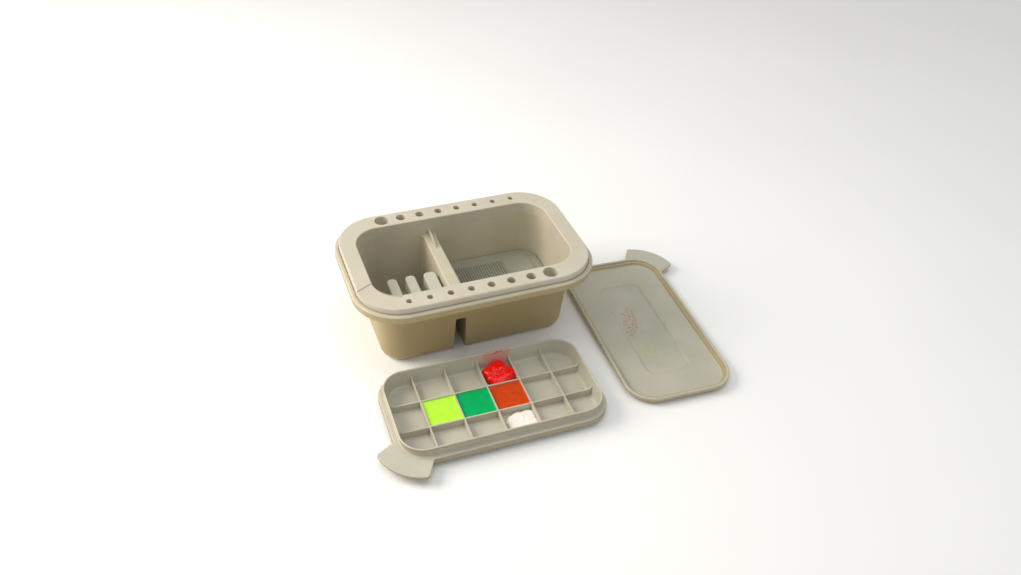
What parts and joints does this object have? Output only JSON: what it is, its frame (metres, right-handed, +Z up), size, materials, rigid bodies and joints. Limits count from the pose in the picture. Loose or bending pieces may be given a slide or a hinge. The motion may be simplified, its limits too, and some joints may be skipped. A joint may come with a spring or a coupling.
{
  "type": "wet palette",
  "caption": "Brush-washing tub with two wells and a ring of brush sockets, shown open beside its palette tray of paint wells and its upturned lid.",
  "frame": {"origin": "on the table under the middle of the tub", "axes": "+X along the tub's long side, towards the large well and the lid; +Y to the back, away from the tray; +Z up"},
  "size_m": [0.4201, 0.3095, 0.1],
  "materials": {
    "tub_plastic": "satin moulded polypropylene, warm grey-beige",
    "ring_plastic": "satin moulded polypropylene, warm grey-beige",
    "insert_plastic": "satin moulded polypropylene, warm grey-beige",
    "tray_plastic": "satin moulded polypropylene, warm grey-beige",
    "lid_plastic": "satin moulded polypropylene, warm grey-beige"
  },
  "bodies": {
    "tub": {"tub": "tub_plastic", "brush_ring": "ring_plastic"},
    "scrub_board": {"scrub_board": "insert_plastic"},
    "brush_rest": {"brush_rest": "insert_plastic"},
    "tray": {"tray": "tray_plastic", "tray_dividers": "tray_plastic"},
    "lid": {"lid": "lid_plastic"}
  },
  "joints": [
    {"name": "scrub_board_lift", "type": "slide", "parent": "tub", "child": "scrub_board", "axis": [0, 0, 1], "range_m": [0, 0.11]},
    {"name": "brush_rest_lift", "type": "slide", "parent": "tub", "child": "brush_rest", "axis": [0, 0, 1], "range_m": [0, 0.11]},
    {"name": "tray_lift", "type": "slide", "parent": "tub", "child": "tray", "axis": [0, -0.7071, 0.7071], "range_m": [0, 0.15]},
    {"name": "lid_lift", "type": "slide", "parent": "tub", "child": "lid", "axis": [0.7071, 0, 0.7071], "range_m": [0, 0.15]}
  ]
}
